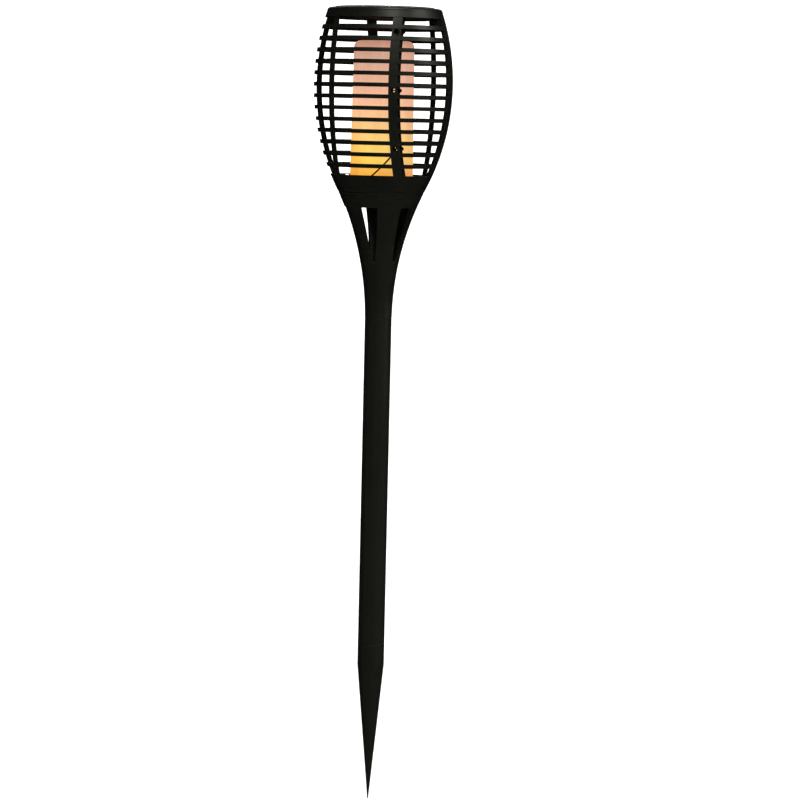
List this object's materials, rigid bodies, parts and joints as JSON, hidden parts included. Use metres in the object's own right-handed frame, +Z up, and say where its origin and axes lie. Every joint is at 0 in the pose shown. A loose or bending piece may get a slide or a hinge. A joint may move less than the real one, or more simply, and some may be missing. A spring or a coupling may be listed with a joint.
{
  "type": "solar torch light",
  "caption": "Solar flame-effect garden torch: slatted barrel lantern with a frosted flame tube on a slotted neck, round pole and ground spike.",
  "frame": {"origin": "tip of the ground spike, on the centre line", "axes": "+Z up the pole; the front half shell faces -Y and the parting plane is Y = 0"},
  "size_m": [0.1246, 0.1246, 0.72],
  "materials": {
    "black_shell": "satin, fine moulded grain",
    "black_pole": "satin, smooth extruded tube",
    "inner_black": "matt",
    "frosted_diffuser": "frosted, lit from inside, translucent",
    "white_plastic": "matt",
    "circuit_board": "solder mask",
    "chip_black": "matt",
    "led_lens": "clear yellowish lens",
    "steel": "zinc plated",
    "contact_metal": "nickel plated",
    "cell_wrap": "printed shrink sleeve, no marks",
    "rubber_black": "matt",
    "lead_sheath": "thin dark red-brown sheath",
    "foam_grey": "foam",
    "silicon_panel": "resin-coated panel",
    "silicon_strip": "silicon",
    "clear_cover": "clear polycarbonate cover"
  },
  "bodies": {
    "spike": {"ground_spike": "black_pole"},
    "pole": {"pole_tube": "black_pole"},
    "neck": {"slotted_neck": "black_shell"},
    "lantern": {"cage_front": "black_shell", "cage_back": "black_shell", "shell_screws": "steel", "lamp_base": "inner_black", "bottom_cover": "inner_black", "cover_screws": "steel", "battery_cell": "cell_wrap", "battery_contact": "contact_metal", "control_board": "circuit_board", "board_parts": "chip_black", "switch_body": "contact_metal", "led_former": "white_plastic", "led_board": "circuit_board", "leds": "led_lens", "diffuser": "frosted_diffuser", "diffuser_seal": "rubber_black", "solar_tray": "inner_black", "panel_pad": "foam_grey", "solar_panel": "silicon_panel", "solar_strips": "silicon_strip", "panel_cover": "clear_cover", "cover_seal": "rubber_black", "tray_grommet": "rubber_black", "deck_grommet": "rubber_black", "panel_lead": "lead_sheath"},
    "door": {"battery_door": "inner_black", "door_seal": "rubber_black", "battery_spring": "contact_metal"},
    "knob": {"switch_knob": "white_plastic"}
  },
  "joints": [
    {"name": "pole_lift", "type": "slide", "parent": "spike", "child": "pole", "axis": [0, 0, 1], "range_m": [0, 0.04]},
    {"name": "neck_lift", "type": "slide", "parent": "pole", "child": "neck", "axis": [0, 0, 1], "range_m": [0, 0.04]},
    {"name": "lantern_lift", "type": "slide", "parent": "neck", "child": "lantern", "axis": [0, 0, 1], "range_m": [0, 0.03]},
    {"name": "door_pull", "type": "slide", "parent": "lantern", "child": "door", "axis": [0, 0, -1], "range_m": [0, 0.02]},
    {"name": "switch_slide", "type": "slide", "parent": "lantern", "child": "knob", "axis": [1, 0, 0], "range_m": [0, 0.004]}
  ]
}
